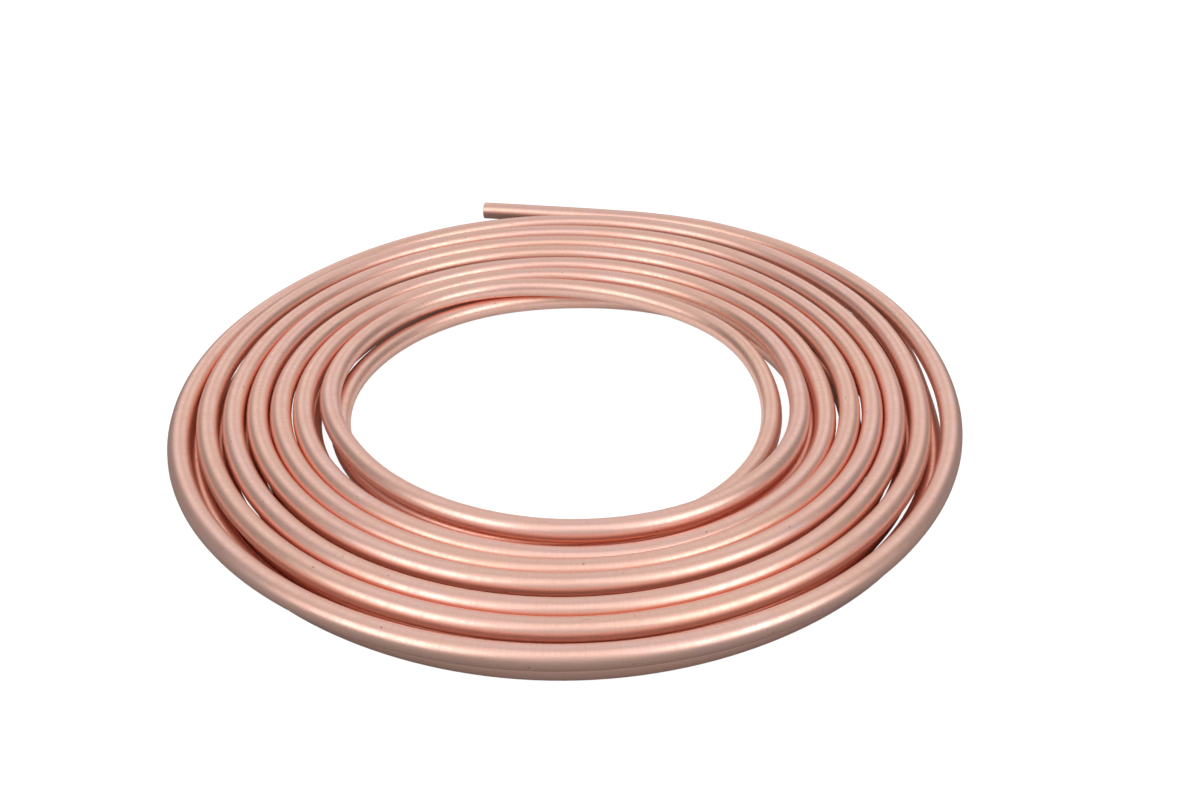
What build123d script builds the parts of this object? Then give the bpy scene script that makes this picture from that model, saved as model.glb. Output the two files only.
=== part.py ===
from build123d import *
from math import cos, radians, sin
import os

# A coil of soft copper tube, in millimetres, lying flat on its lower layer of turns.
# The origin is on the floor, on the coil's axis. +X is the right and +Y is the back.

# The tube's own section
tube_diameter = 6.35
tube_wall = 0.76

# The upper layer winds out to the lead, and the lower layer lies under it, a little inside
upper_turns = 7
upper_inner_radius = 69.5
upper_pitch = 8.0
lower_turns = 6
lower_inner_radius = 67.5
lower_pitch = 9.4
layer_gap = 0.1

# A curved length of tube has this many flat sides, to stay light. A turn's flats lie on the
# true round, and the lead's stand this much outside it, so that its round end seats in them.
tube_sides = 10
lead_flat_allowance = 0.04

# The climb is the stretch that rises from the lower layer to the upper one. It swings inside
# the innermost turns, and each end of it runs out inside a turn, a little off its centre.
climb_inset = 6.5
climb_start_angle = -70.0
climb_middle_angle = 40.0
climb_end_angle = 120.0
climb_end_depth = 0.5
climb_end_rise = 0.3

# The lead is the free end of the outermost upper turn. It starts a little inside that turn's
# own place and a little below it, so that it comes clear of it at a definite slant. It leaves
# on an arc wider than the turn, closes in on a tighter one, eases out almost straight, and
# ends straight and round.
lead_start_angle = -22.0
lead_start_depth = 1.0
lead_drop = 0.2
lead_slant_angle = 1.0
lead_leaving_offset = 6.5
lead_leaving_angle = 56.0
lead_closing_offset = 13.5
lead_closing_angle = 41.0
lead_easing_radius = 600.0
lead_easing_angle = 5.0
lead_straight_length = 22.0
cut_edge_chamfer = 0.3

tube_radius = tube_diameter / 2
bore_radius = tube_radius - tube_wall
lower_height = tube_radius
upper_height = lower_height + tube_diameter + layer_gap
upper_outer_radius = upper_inner_radius + upper_pitch * (upper_turns - 1)

with BuildPart() as copper_tube:
    # Every turn's section stands out of a band that joins the centres of the outermost and
    # innermost turns, and all of it is turned about the coil's axis
    upper_places = [(upper_inner_radius + upper_pitch * turn, upper_height) for turn in range(upper_turns)]
    lower_places = [(lower_inner_radius + lower_pitch * turn, lower_height) for turn in range(lower_turns)]
    with BuildSketch(Plane.XZ) as turned_section:
        with Locations(upper_places + lower_places):
            RegularPolygon(tube_radius, tube_sides, major_radius=False)
        with BuildLine():
            Polyline(upper_places[0], upper_places[-1], lower_places[-1], lower_places[0], close=True)
        make_face()
    revolve(axis=Axis.Z)

    # The climb, on one arc from inside the innermost lower turn to inside the innermost upper one
    with BuildLine() as climb_line:
        climb_places = [
            (climb_start_angle, lower_inner_radius + climb_end_depth, lower_height + climb_end_rise),
            (climb_middle_angle, lower_inner_radius - climb_inset, (lower_height + upper_height) / 2),
            (climb_end_angle, upper_inner_radius + climb_end_depth, upper_height - climb_end_rise),
        ]
        climb = ThreePointArc(*[(r * cos(radians(a)), r * sin(radians(a)), z) for a, r, z in climb_places])
    climb_plane = Plane(climb @ 0, x_dir=climb @ 0 - Vector(0, 0, lower_height), z_dir=climb % 0)
    with BuildSketch(climb_plane) as climb_section:
        RegularPolygon(tube_radius, tube_sides, major_radius=False)
    sweep(path=climb)

    # The lead's curved length, from inside the outermost upper turn
    with BuildLine() as lead_line:
        start = radians(lead_start_angle)
        heading = radians(lead_start_angle - lead_slant_angle)
        start_radius = upper_outer_radius - lead_start_depth
        leaving = JernArc(
            start=(start_radius * cos(start), start_radius * sin(start), upper_height - lead_drop),
            tangent=(-sin(heading), cos(heading), 0),
            radius=upper_outer_radius + lead_leaving_offset,
            arc_size=lead_leaving_angle,
        )
        closing_radius = upper_outer_radius - lead_closing_offset
        closing = JernArc(leaving @ 1, leaving % 1, closing_radius, lead_closing_angle)
        easing = JernArc(closing @ 1, closing % 1, lead_easing_radius, lead_easing_angle)
    lead_plane = Plane(leaving @ 0, x_dir=(cos(start), sin(start), 0), z_dir=leaving % 0)
    with BuildSketch(lead_plane) as lead_section:
        RegularPolygon(tube_radius + lead_flat_allowance, tube_sides, major_radius=False)
    sweep(path=lead_line.wire())

    # Its straight end, which is truly round
    cut_plane = Plane(easing @ 1 + (easing % 1) * lead_straight_length, z_dir=easing % 1)
    with BuildSketch(cut_plane) as end_section:
        Circle(tube_radius)
    extrude(amount=-lead_straight_length)

    # The cut end: its outer edge is broken, and the tube's bore is open in it
    cut_face = copper_tube.faces().filter_by(cut_plane).sort_by_distance(cut_plane.origin)[0]
    chamfer(cut_face.edges(), length=cut_edge_chamfer)
    with BuildSketch(cut_plane) as bore_section:
        Circle(bore_radius)
    extrude(amount=-lead_straight_length, mode=Mode.SUBTRACT)

copper_tube.part.label = "copper_tube"
os.makedirs("parts", exist_ok=True)
export_step(copper_tube.part, "parts/copper_tube.step")
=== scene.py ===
from math import cos, exp, radians, sin

import bmesh
import bpy
from mathutils import Matrix, Vector


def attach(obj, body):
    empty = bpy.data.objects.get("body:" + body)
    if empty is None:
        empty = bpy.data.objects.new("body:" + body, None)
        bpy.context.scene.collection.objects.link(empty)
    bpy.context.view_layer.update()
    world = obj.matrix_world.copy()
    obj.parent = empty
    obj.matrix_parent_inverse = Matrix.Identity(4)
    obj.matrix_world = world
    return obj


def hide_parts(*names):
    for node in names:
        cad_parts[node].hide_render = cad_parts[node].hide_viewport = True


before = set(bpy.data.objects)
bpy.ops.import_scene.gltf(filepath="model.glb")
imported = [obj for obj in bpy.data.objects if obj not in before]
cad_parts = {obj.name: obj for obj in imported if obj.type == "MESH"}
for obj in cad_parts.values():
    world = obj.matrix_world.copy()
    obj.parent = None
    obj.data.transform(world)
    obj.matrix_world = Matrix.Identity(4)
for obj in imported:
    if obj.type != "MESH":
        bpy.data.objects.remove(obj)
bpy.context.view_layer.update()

# The loose lay of the tube, in millimetres, as the photograph shows it. The tube winds
# counterclockwise seen from above, inwards in the lower layer and outwards in the upper one.
# Angles are in degrees from +X, the right, and go on past 360 from one turn to the next.
MM = 0.001
TUBE_DIAMETER = 6.35
TUBE_WALL = 0.76
LOWER_HEIGHT = TUBE_DIAMETER / 2
UPPER_HEIGHT = LOWER_HEIGHT + TUBE_DIAMETER + 0.1

# Radius of the tube's centre line at every 30 degrees, one row to a turn. A lower turn's row
# starts at the left of the coil, an upper turn's at the right.
STATION = 30
FIRST_ANGLE = 180
LOWER_TURNS = (
    (113.0, 112.3, 113.2, 114.2, 113.4, 112.6, 111.4, 120.2, 118.8, 113.2, 109.4, 107.5),
    (106.2, 105.8, 106.0, 106.4, 106.4, 105.2, 104.2, 109.4, 107.4, 102.6, 100.3, 99.6),
    (98.4, 98.3, 98.6, 98.4, 98.2, 98.2, 95.6, 94.2, 93.4, 92.8, 92.3, 92.0),
    (91.3, 91.7, 90.6, 90.0, 89.2, 88.2, 86.9, 85.4, 83.8, 82.4, 81.0, 79.4),
    (79.6, 78.4, 76.1, 74.6, 74.9, 75.4, 74.7, 73.4, 70.6, 67.8, 68.8, 69.9),
    (70.7, 70.3, 69.4, 68.2, 66.4, 64.6),
)
UPPER_TURNS = (
    (62.6, 62.2, 60.9, 64.4, 71.0, 73.6, 73.5, 70.8, 70.2, 71.3, 72.7, 72.8),
    (70.8, 71.0, 71.2, 73.4, 77.6, 80.3, 81.0, 80.6, 79.9, 79.9, 80.4, 80.7),
    (78.4, 78.7, 79.7, 81.9, 84.7, 87.2, 87.8, 86.9, 86.3, 86.1, 86.5, 86.8),
    (86.1, 86.8, 89.0, 91.5, 94.8, 96.0, 94.9, 93.3, 92.7, 92.5, 92.9, 93.2),
    (93.1, 94.2, 97.3, 99.9, 102.4, 102.5, 101.8, 100.7, 101.1, 101.6, 101.1, 99.9),
    (99.9, 102.4, 106.6, 109.0, 111.0, 111.0, 109.5, 107.9, 107.9, 108.4, 107.9, 107.4),
    (107.6, 112.1, 116.8, 118.5, 118.0, 117.5, 116.5, 117.2, 117.3, 117.6, 117.1, 116.1),
)
LEAD_RADII = (116.6, 120.7, 124.2)
# The lead's last stretch, nearly straight, in X and Y up to its cut end
LEAD_PLACES = (
    (47.4, 115.3),
    (30.9, 120.7),
    (14.4, 124.2),
    (-1.4, 127.0),
    (-17.0, 129.6),
    (-32.4, 132.0),
)

# Where a turn sinks between those beside it: the turn, counted from 0 at the first upper one,
# then the angle and the spread in degrees, and the depth
SAGS = (
    (1, 150, 30, 0.1),
    (1, 298, 64, 2.6),
    (2, 272, 48, 0.9),
    (6, 148, 28, 1.7),
    (7, 85, 30, 0.6),
)
# How far the climb from the lower layer reaches to either side of 0 degrees
CLIMB_SPREAD = 70

CUT_RIM = 0.25
STEP_COUNT = 2050
SIDES = 24

# The copper's colours, in linear red, green and blue
WARM_PINK = (0.95, 0.60, 0.475)
PALE_PINK = (0.96, 0.62, 0.545)
BLOOM_TAN = (0.93, 0.555, 0.425)
GRAIN_BROWN = (0.80, 0.46, 0.39)
# Painted reflected light: the deep red of light bounced between neighbouring turns, laid into the
# colour of the creases
PAINTED_BOUNCE_RED = (0.99, 0.40, 0.25)
# What marks, the bore and the cut ends do to the tint: the effect's mask, its share and its colour.
# The bore is coloured a darker brown inside.
SURFACE_TINTS = (
    ("Pits", 0.75, (0.26, 0.12, 0.09)),
    ("Scratches", 0.75, (0.24, 0.13, 0.10)),
    ("Bore", 0.7, (0.42, 0.20, 0.13)),
    ("Cut", 0.9, (0.98, 0.74, 0.58)),
)
GRAIN_SHARE = 0.28
# How far from the next turn the copper starts to look redder with painted bounce light, in
# millimetres
CREVICE_REACH = 5
METALLIC = 0.82
POLISHED_ROUGHNESS = 0.29
GRAIN_ROUGHNESS = 0.12
CLOUD_ROUGHNESS = 0.10
PIT_ROUGHNESS = 0.25
BUMP_STRENGTH = 0.5
# The relief of grain and marks, in millimetres
BUMP_DEPTH = 0.04

FLOOR_SIZE = 3.0
FLOOR_GREY = 0.26
# How brightly the floor glows to the camera, and in reflections of the coil's eye
FLOOR_GLOW = 0.93
EYE_GLOW = 0.7
# The radii in millimetres between which the eye's glow fades away
EYE_EDGE = (45, 85)

# The studio's greys. The back wall changes sideways, and the room in front changes upwards.
BACK_WALL = (
    (0.0, 0.64),
    (0.1, 0.7),
    (0.24, 1.0),
    (0.4, 0.96),
    (0.56, 0.6),
    (0.7, 0.2),
    (1.0, 0.1),
)
FRONT_ROOM = ((0.0, 0.3), (0.3, 0.42), (0.7, 0.56), (1.0, 0.5))
SKIRTING = (0.25, 0.25, 0.25)
CEILING = (0.58, 0.58, 0.58)
WHITE = (1.0, 1.0, 1.0)

# The camera, solved from the photograph
CAMERA_PLACE = (0, -0.32565, 0.21676)
CAMERA_FORWARD = (0.02524, 0.83696, -0.54668)
CAMERA_LENS = 37.17
CAMERA_SENSOR = 36


def between(values, place):
    """The value at a place along evenly spaced ones, on a smooth curve through them."""
    last = len(values) - 1
    i = max(0, min(int(place), last - 1))
    before, start, end, after = (values[max(0, min(k, last))] for k in (i - 1, i, i + 1, i + 2))
    t = place - i
    twist = 3 * (start - end) + after - before
    bend = 2 * before - 5 * start + 4 * end - after + t * twist
    return start + 0.5 * t * ((end - before) + t * bend)


def tube_height(angle, upper_start):
    """The height of the centre line, which climbs from the lower layer to the upper one."""
    rise = max(0.0, min(1.0, (angle - upper_start + CLIMB_SPREAD) / (2 * CLIMB_SPREAD)))
    height = LOWER_HEIGHT + (UPPER_HEIGHT - LOWER_HEIGHT) * rise * rise * (3 - 2 * rise)
    for turn, place, spread, depth in SAGS:
        height -= depth * exp(-(((angle - upper_start - 360 * turn - place) / spread) ** 2))
    return height


def centre_line():
    """Points along the tube's centre, evenly spaced, from its lower end to the lead's cut end."""
    lower = [radius for turn in LOWER_TURNS for radius in turn]
    radii = lower + [radius for turn in UPPER_TURNS for radius in turn] + list(LEAD_RADII)
    upper_start = FIRST_ANGLE + STATION * len(lower)
    points = []
    for step in range(STATION * (len(radii) - 1)):
        angle = FIRST_ANGLE + step
        radius = between(radii, step / STATION)
        a = radians(angle)
        points.append(Vector((radius * cos(a), radius * sin(a), tube_height(angle, upper_start))))
    last_height = points[-1].z
    lead = [points[-16].xy, points[-1].xy] + [Vector(place) for place in LEAD_PLACES]
    for step in range(1, 10 * len(LEAD_PLACES) + 1):
        place = between(lead, 1 + step / 10)
        points.append(Vector((place.x, place.y, last_height)))
    lengths = [0.0]
    for start, end in zip(points, points[1:]):
        lengths.append(lengths[-1] + (end - start).length)
    spaced, k = [], 0
    for i in range(STEP_COUNT + 1):
        along = lengths[-1] * i / STEP_COUNT
        while k < len(points) - 2 and lengths[k + 1] < along:
            k += 1
        t = (along - lengths[k]) / (lengths[k + 1] - lengths[k])
        spaced.append(points[k].lerp(points[k + 1], t) * MM)
    return spaced, lengths[-1] * MM


def section_place(points, step):
    """Where the tube's section stands at a step along the centre line: Z along it, Y upwards."""
    i = max(0, min(int(step), len(points) - 2))
    along = (points[min(i + 2, len(points) - 1)] - points[max(i - 1, 0)]).normalized()
    side = Vector((0, 0, 1)).cross(along).normalized()
    place = Matrix((side, along.cross(side), along)).transposed().to_4x4()
    place.translation = points[i].lerp(points[i + 1], step - i)
    return place


def straight_tube(length):
    """The tube as it is drawn, straight along Z and hollow, but with both cut ends covered."""
    bm = bmesh.new()
    for radius in (TUBE_DIAMETER / 2, TUBE_DIAMETER / 2 - TUBE_WALL):
        bmesh.ops.create_circle(bm, cap_ends=False, segments=SIDES, radius=radius * MM)
    start_rims = list(bm.edges)
    grown = bmesh.ops.extrude_edge_only(bm, edges=start_rims)["geom"]
    end_rims = [item for item in grown if isinstance(item, bmesh.types.BMEdge)]
    end_verts = [item for item in grown if isinstance(item, bmesh.types.BMVert)]
    bmesh.ops.translate(bm, vec=(0, 0, length), verts=end_verts)
    # A known fault: each bridge joins its two rims the wrong way round, so its faces cross the
    # bore and cover it, and the broken edge inside turns into the bore
    for rims in (start_rims, end_rims):
        bmesh.ops.bridge_loops(bm, edges=rims)
    bmesh.ops.bevel(
        bm,
        geom=start_rims + end_rims,
        offset=CUT_RIM * MM,
        offset_type="OFFSET",
        segments=2,
        profile=0.5,
        affect="EDGES",
        material=-1,
    )
    long_edges = [edge for edge in bm.edges if edge.calc_length() > length / 2]
    bmesh.ops.subdivide_edges(bm, edges=long_edges, cuts=STEP_COUNT - 1, use_grid_fill=True)
    bmesh.ops.recalc_face_normals(bm, faces=bm.faces)
    return bm


def build_tube():
    """The straight tube bent to the coil's lay. Each point keeps its place on the straight tube."""
    points, length = centre_line()
    bm = straight_tube(length)
    drawn = bm.verts.layers.float_vector.new("drawn")
    for vert in bm.verts:
        vert[drawn] = vert.co
        step = vert.co.z / length * STEP_COUNT
        vert.co = section_place(points, step) @ Vector((vert.co.x, vert.co.y, 0))
    for face in bm.faces:
        face.smooth = True
    mesh = bpy.data.meshes.new("copper_tube_lay")
    bm.to_mesh(mesh)
    bm.free()
    tube = bpy.data.objects.new("copper_tube_lay", mesh)
    bpy.context.scene.collection.objects.link(tube)
    mesh.materials.append(copper(length))
    return tube


def new_material(name):
    material = bpy.data.materials.new(name)
    material.use_nodes = True
    nodes = material.node_tree.nodes
    return material, nodes, material.node_tree.links, nodes["Principled BSDF"]


def new_group(name, outputs):
    """A shader node group that reads a place on the straight tube and gives values or colours."""
    group = bpy.data.node_groups.new(name, "ShaderNodeTree")
    group.interface.new_socket("Place", in_out="INPUT", socket_type="NodeSocketVector")
    for label, kind in outputs:
        group.interface.new_socket(label, in_out="OUTPUT", socket_type=kind)
    source = group.nodes.new("NodeGroupInput")
    sink = group.nodes.new("NodeGroupOutput")
    return group, group.nodes, group.links, source, sink


def maths(nodes, links, operation, *inputs):
    """One Math node. An input is a socket to link or a number."""
    node = nodes.new("ShaderNodeMath")
    node.operation = operation
    for socket, value in zip(node.inputs, inputs):
        if isinstance(value, (int, float)):
            socket.default_value = value
        else:
            links.new(value, socket)
    return node.outputs[0]


def stretched(nodes, links, place, scale, turn=0.0):
    """The place scaled round the tube and along it, so that a pattern stretches either way."""
    node = nodes.new("ShaderNodeMapping")
    node.vector_type = "POINT"
    node.inputs["Scale"].default_value = scale
    node.inputs["Rotation"].default_value = (turn, 0, 0)
    links.new(place, node.inputs["Vector"])
    return node.outputs[0]


def noise(nodes, links, vector, detail=3.0, roughness=0.55):
    node = nodes.new("ShaderNodeTexNoise")
    node.inputs["Scale"].default_value = 1.0
    node.inputs["Detail"].default_value = detail
    node.inputs["Roughness"].default_value = roughness
    links.new(vector, node.inputs["Vector"])
    return node.outputs["Fac"]


def remap(nodes, links, value, low, high, to_low=0.0, to_high=1.0):
    node = nodes.new("ShaderNodeMapRange")
    node.interpolation_type = "SMOOTHSTEP"
    numbers = {"From Min": low, "From Max": high, "To Min": to_low, "To Max": to_high}
    for label, number in numbers.items():
        node.inputs[label].default_value = number
    links.new(value, node.inputs["Value"])
    return node.outputs["Result"]


def grain_group():
    """Fine streaks across the tube, left by straightening rolls, and faint lines of the draw die."""
    group, nodes, links, source, sink = new_group(
        "copper_grain", (("Across", "NodeSocketFloat"), ("Along", "NodeSocketFloat"))
    )
    place = source.outputs["Place"]
    coarse = noise(nodes, links, stretched(nodes, links, place, (150, 150, 1300)), 2.0)
    fine = noise(nodes, links, stretched(nodes, links, place, (420, 420, 3600)), 3.0, 0.65)
    coarse_share = maths(nodes, links, "MULTIPLY", coarse, 0.4)
    across = maths(nodes, links, "MULTIPLY_ADD", fine, 0.6, coarse_share)
    links.new(across, sink.inputs["Across"])
    along = noise(nodes, links, stretched(nodes, links, place, (1500, 1500, 9)), 2.0)
    links.new(along, sink.inputs["Along"])
    return group


def bloom_group():
    """Slow changes of tint and dullness that annealing leaves, a hand's breadth to a thumb's."""
    group, nodes, links, source, sink = new_group(
        "anneal_bloom", (("Broad", "NodeSocketFloat"), ("Cloud", "NodeSocketFloat"))
    )
    place = source.outputs["Place"]
    broad = noise(nodes, links, stretched(nodes, links, place, (70, 70, 14)), 2.0)
    links.new(broad, sink.inputs["Broad"])
    cloud = noise(nodes, links, stretched(nodes, links, place, (260, 260, 110)), 4.0)
    links.new(cloud, sink.inputs["Cloud"])
    return group


def marks_group():
    """Sparse small pits and short dark handling scratches, each as a mask."""
    group, nodes, links, source, sink = new_group(
        "handling_marks", (("Pits", "NodeSocketFloat"), ("Scratches", "NodeSocketFloat"))
    )
    place = source.outputs["Place"]
    # Each kind's cells to the metre, their slant, the spot's core and edge, and how rare it is
    kinds = (
        ("Pits", (330, 330, 220), 0.0, 0.03, 0.1, 0.6),
        ("Scratches", (700, 700, 70), 0.35, 0.03, 0.12, 0.9),
    )
    for label, scale, turn, core, edge, rarity in kinds:
        cells = nodes.new("ShaderNodeTexVoronoi")
        cells.inputs["Scale"].default_value = 1.0
        links.new(stretched(nodes, links, place, scale, turn), cells.inputs["Vector"])
        spot = remap(nodes, links, cells.outputs["Distance"], core, edge, 1.0, 0.0)
        chance = nodes.new("ShaderNodeSeparateColor")
        links.new(cells.outputs["Color"], chance.inputs[0])
        chosen = maths(nodes, links, "GREATER_THAN", chance.outputs[0], rarity)
        depth = maths(nodes, links, "MULTIPLY_ADD", chance.outputs[1], 0.6, 0.4)
        mask = maths(nodes, links, "MULTIPLY", spot, maths(nodes, links, "MULTIPLY", chosen, depth))
        links.new(mask, sink.inputs[label])
    return group


def ends_group(length):
    """Where the tube was cut, and where its bore is."""
    group, nodes, links, source, sink = new_group(
        "cut_ends", (("Cut", "NodeSocketFloat"), ("Bore", "NodeSocketFloat"))
    )
    split = nodes.new("ShaderNodeSeparateXYZ")
    links.new(source.outputs["Place"], split.inputs[0])
    first = maths(nodes, links, "LESS_THAN", split.outputs["Z"], CUT_RIM * MM)
    last = maths(nodes, links, "GREATER_THAN", split.outputs["Z"], length - CUT_RIM * MM)
    links.new(maths(nodes, links, "MAXIMUM", first, last), sink.inputs["Cut"])
    squares = [
        maths(nodes, links, "MULTIPLY", split.outputs[axis], split.outputs[axis]) for axis in "XY"
    ]
    radius = maths(nodes, links, "SQRT", maths(nodes, links, "ADD", *squares))
    middle = (TUBE_DIAMETER - TUBE_WALL) / 2 * MM
    links.new(maths(nodes, links, "LESS_THAN", radius, middle), sink.inputs["Bore"])
    return group


def mixed(nodes, links, factor, base, top):
    """Two colours mixed. Each is a socket to link or a red, green and blue."""
    node = nodes.new("ShaderNodeMix")
    node.data_type = "RGBA"
    links.new(factor, node.inputs[0])
    for socket, colour in ((node.inputs[6], base), (node.inputs[7], top)):
        if isinstance(colour, tuple):
            socket.default_value = (*colour, 1)
        else:
            links.new(colour, socket)
    return node.outputs[2]


def copper(length):
    """Soft copper, annealed to a satin pink, with its grain, bloom, marks and bright cut ends, and
    painted red bounce light in the creases between turns.
    """
    material, nodes, links, shader = new_material("annealed_copper")
    place = nodes.new("ShaderNodeAttribute")
    place.attribute_name = "drawn"
    effects = {}
    for group in (grain_group(), bloom_group(), marks_group(), ends_group(length)):
        node = nodes.new("ShaderNodeGroup")
        node.node_tree = group
        links.new(place.outputs["Vector"], node.inputs["Place"])
        effects.update({socket.name: socket for socket in node.outputs})

    broad = remap(nodes, links, effects["Broad"], 0.3, 0.7)
    cloud = remap(nodes, links, effects["Cloud"], 0.35, 0.75, 0.0, 0.55)
    across = remap(nodes, links, effects["Across"], 0.38, 0.62)
    tint = mixed(nodes, links, broad, WARM_PINK, PALE_PINK)
    tint = mixed(nodes, links, cloud, tint, BLOOM_TAN)
    grain = maths(nodes, links, "MULTIPLY", across, GRAIN_SHARE)
    tint = mixed(nodes, links, grain, tint, GRAIN_BROWN)
    # Painted reflected light: near the next turn the colour turns to the red of light bounced
    # between the turns
    shelter = nodes.new("ShaderNodeAmbientOcclusion")
    shelter.samples = 6
    shelter.only_local = True
    shelter.inputs["Distance"].default_value = CREVICE_REACH * MM
    painted_bounce = remap(nodes, links, shelter.outputs["AO"], 0.1, 0.72, 0.85, 0.0)
    tint = mixed(nodes, links, painted_bounce, tint, PAINTED_BOUNCE_RED)
    for label, share, colour in SURFACE_TINTS:
        tint_share = maths(nodes, links, "MULTIPLY", effects[label], share)
        tint = mixed(nodes, links, tint_share, tint, colour)
    links.new(tint, shader.inputs["Base Color"])
    shader.inputs["Metallic"].default_value = METALLIC

    dull = maths(nodes, links, "MULTIPLY_ADD", across, GRAIN_ROUGHNESS, POLISHED_ROUGHNESS)
    dull = maths(nodes, links, "MULTIPLY_ADD", cloud, CLOUD_ROUGHNESS, dull)
    dull = maths(nodes, links, "MULTIPLY_ADD", effects["Pits"], PIT_ROUGHNESS, dull)
    links.new(dull, shader.inputs["Roughness"])

    height = maths(nodes, links, "MULTIPLY_ADD", effects["Along"], 0.35, effects["Across"])
    height = maths(nodes, links, "MULTIPLY_ADD", effects["Pits"], -1.6, height)
    height = maths(nodes, links, "MULTIPLY_ADD", effects["Scratches"], -1.0, height)
    bump = nodes.new("ShaderNodeBump")
    bump.inputs["Strength"].default_value = BUMP_STRENGTH
    bump.inputs["Distance"].default_value = BUMP_DEPTH * MM
    links.new(height, bump.inputs["Height"])
    links.new(bump.outputs["Normal"], shader.inputs["Normal"])
    return material


def floor_material():
    """A floor that looks white to the camera, takes the coil's shadow and lights its eye."""
    material, nodes, links, shader = new_material("pale_floor")
    shader.inputs["Base Color"].default_value = (FLOOR_GREY, FLOOR_GREY, FLOOR_GREY, 1)
    shader.inputs["Roughness"].default_value = 0.9
    shader.inputs["Specular IOR Level"].default_value = 0.0
    ray = nodes.new("ShaderNodeLightPath")
    seen = maths(nodes, links, "MULTIPLY", ray.outputs["Is Camera Ray"], FLOOR_GLOW)
    place = nodes.new("ShaderNodeTexCoord")
    reach = nodes.new("ShaderNodeVectorMath")
    reach.operation = "LENGTH"
    links.new(place.outputs["Object"], reach.inputs[0])
    inner, outer = (radius * MM for radius in EYE_EDGE)
    eye = remap(nodes, links, reach.outputs["Value"], inner, outer, EYE_GLOW, 0.0)
    mirrored = maths(nodes, links, "MULTIPLY", ray.outputs["Is Glossy Ray"], eye)
    strength = maths(nodes, links, "ADD", seen, mirrored)
    glow = nodes.new("ShaderNodeEmission")
    links.new(strength, glow.inputs["Strength"])
    both = nodes.new("ShaderNodeAddShader")
    links.new(shader.outputs[0], both.inputs[0])
    links.new(glow.outputs[0], both.inputs[1])
    links.new(both.outputs[0], nodes["Material Output"].inputs["Surface"])
    return material


def build_floor():
    bm = bmesh.new()
    bmesh.ops.create_grid(bm, x_segments=1, y_segments=1, size=FLOOR_SIZE)
    mesh = bpy.data.meshes.new("floor")
    bm.to_mesh(mesh)
    bm.free()
    floor = bpy.data.objects.new("floor", mesh)
    bpy.context.scene.collection.objects.link(floor)
    mesh.materials.append(floor_material())


def aim(thing, target):
    thing.rotation_euler = (Vector(target) - thing.location).to_track_quat("-Z", "Y").to_euler()


def add_softbox(name, azimuth, elevation, distance, size, power):
    """A square softbox round the coil: azimuth in degrees from +X, elevation above the floor."""
    data = bpy.data.lights.new(name, "AREA")
    data.size = size
    data.energy = power
    light = bpy.data.objects.new(name, data)
    a, e = radians(azimuth), radians(elevation)
    light.location = Vector((cos(a) * cos(e), sin(a) * cos(e), sin(e))) * distance
    aim(light, (0, 0, 0))
    bpy.context.scene.collection.objects.link(light)


def grey_ramp(nodes, stops):
    ramp = nodes.new("ShaderNodeValToRGB")
    ramp.color_ramp.interpolation = "EASE"
    while len(ramp.color_ramp.elements) < len(stops):
        ramp.color_ramp.elements.new(0.5)
    for element, (position, grey) in zip(ramp.color_ramp.elements, stops):
        element.position = position
        element.color = (grey, grey, grey, 1)
    return ramp


def build_world():
    """A studio: a bright wall behind the coil, darker to the sides, and a dim room in front."""
    world = bpy.data.worlds.new("studio")
    world.use_nodes = True
    nodes, links = world.node_tree.nodes, world.node_tree.links
    direction = nodes.new("ShaderNodeTexCoord")
    split = nodes.new("ShaderNodeSeparateXYZ")
    links.new(direction.outputs["Generated"], split.inputs[0])
    sideways = maths(nodes, links, "ABSOLUTE", split.outputs["X"])
    wall = grey_ramp(nodes, BACK_WALL)
    links.new(sideways, wall.inputs["Fac"])
    low = remap(nodes, links, split.outputs["Z"], 0.0, 0.4, 0.4, 0.0)
    back = mixed(nodes, links, low, wall.outputs["Color"], SKIRTING)
    room = grey_ramp(nodes, FRONT_ROOM)
    links.new(split.outputs["Z"], room.inputs["Fac"])
    ceiling = remap(nodes, links, split.outputs["Z"], 0.68, 0.95)
    behind = mixed(nodes, links, ceiling, back, CEILING)
    forward = remap(nodes, links, split.outputs["Y"], -0.3, 0.2)
    studio = mixed(nodes, links, forward, room.outputs["Color"], behind)
    ray = nodes.new("ShaderNodeLightPath")
    seen = mixed(nodes, links, ray.outputs["Is Camera Ray"], studio, WHITE)
    links.new(seen, nodes["Background"].inputs["Color"])
    bpy.context.scene.world = world


tube = build_tube()
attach(tube, "root")
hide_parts("copper_tube")

build_floor()
build_world()
add_softbox("softbox_left", azimuth=222, elevation=36, distance=1.3, size=0.8, power=4.2)
add_softbox("softbox_right", azimuth=318, elevation=36, distance=1.3, size=0.8, power=4.6)
add_softbox("softbox_above", azimuth=270, elevation=68, distance=0.8, size=0.5, power=0.52)

camera_data = bpy.data.cameras.new("camera")
camera_data.sensor_width = CAMERA_SENSOR
camera_data.lens = CAMERA_LENS
camera = bpy.data.objects.new("camera", camera_data)
camera.location = CAMERA_PLACE
camera.rotation_euler = Vector(CAMERA_FORWARD).to_track_quat("-Z", "Y").to_euler()
bpy.context.scene.collection.objects.link(camera)
bpy.context.scene.camera = camera
bpy.context.scene.view_settings.view_transform = "Standard"
